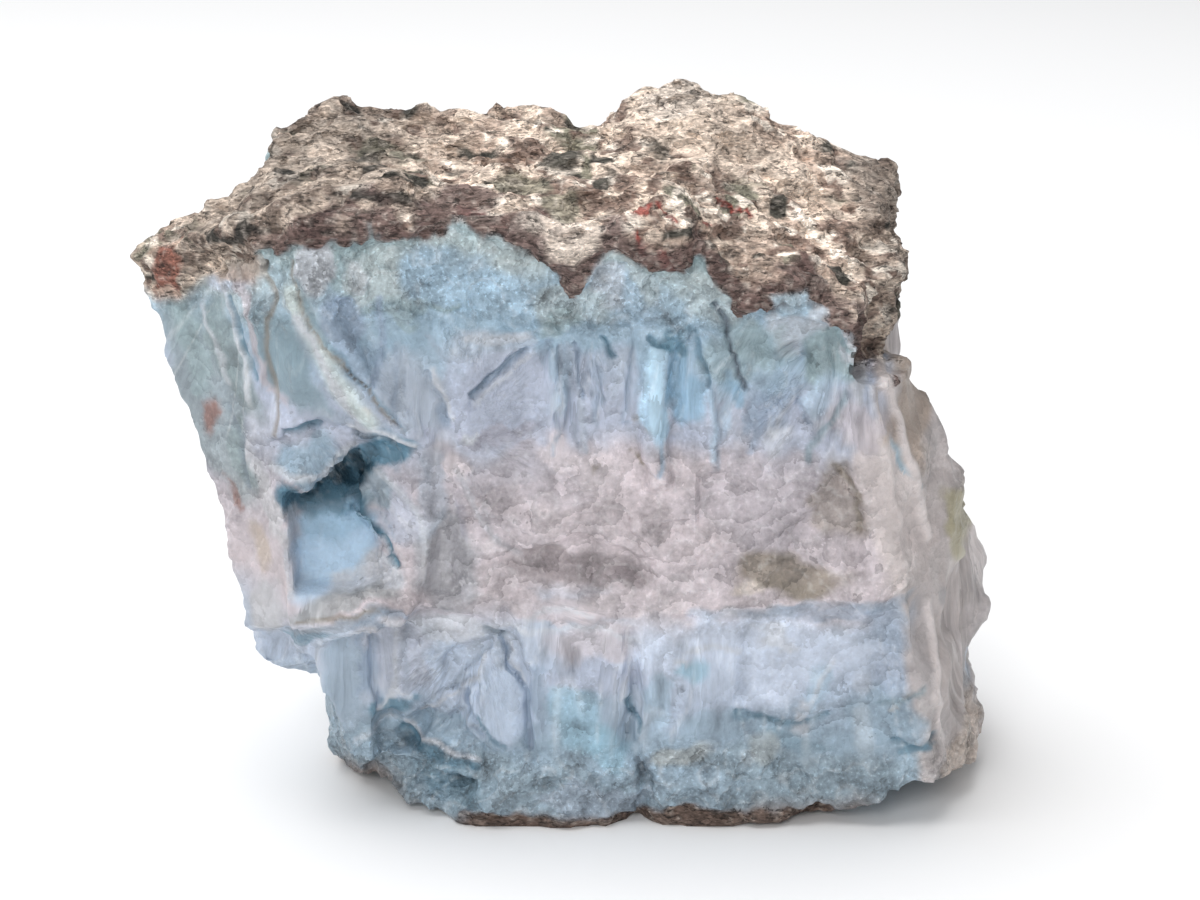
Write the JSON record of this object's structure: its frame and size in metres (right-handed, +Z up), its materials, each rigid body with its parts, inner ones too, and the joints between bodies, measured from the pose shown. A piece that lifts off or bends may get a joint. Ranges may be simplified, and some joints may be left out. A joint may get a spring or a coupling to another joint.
{
  "type": "rough larimar specimen",
  "caption": "Rough chunk of a blue larimar vein with radiating crystal fans under a lumpy tan basalt crust, standing on its flat lower side for display.",
  "frame": {"origin": "middle of the stone's box at its base, on the ground it stands on", "axes": "+X along the stone's width, to the right seen from its broken blue face; -Y out of that face; +Z up, towards the crust"},
  "size_m": [0.0906, 0.0444, 0.074],
  "materials": {
    "larimar": "satin"
  },
  "bodies": {
    "root": {"larimar_rough": "larimar"}
  },
  "joints": []
}
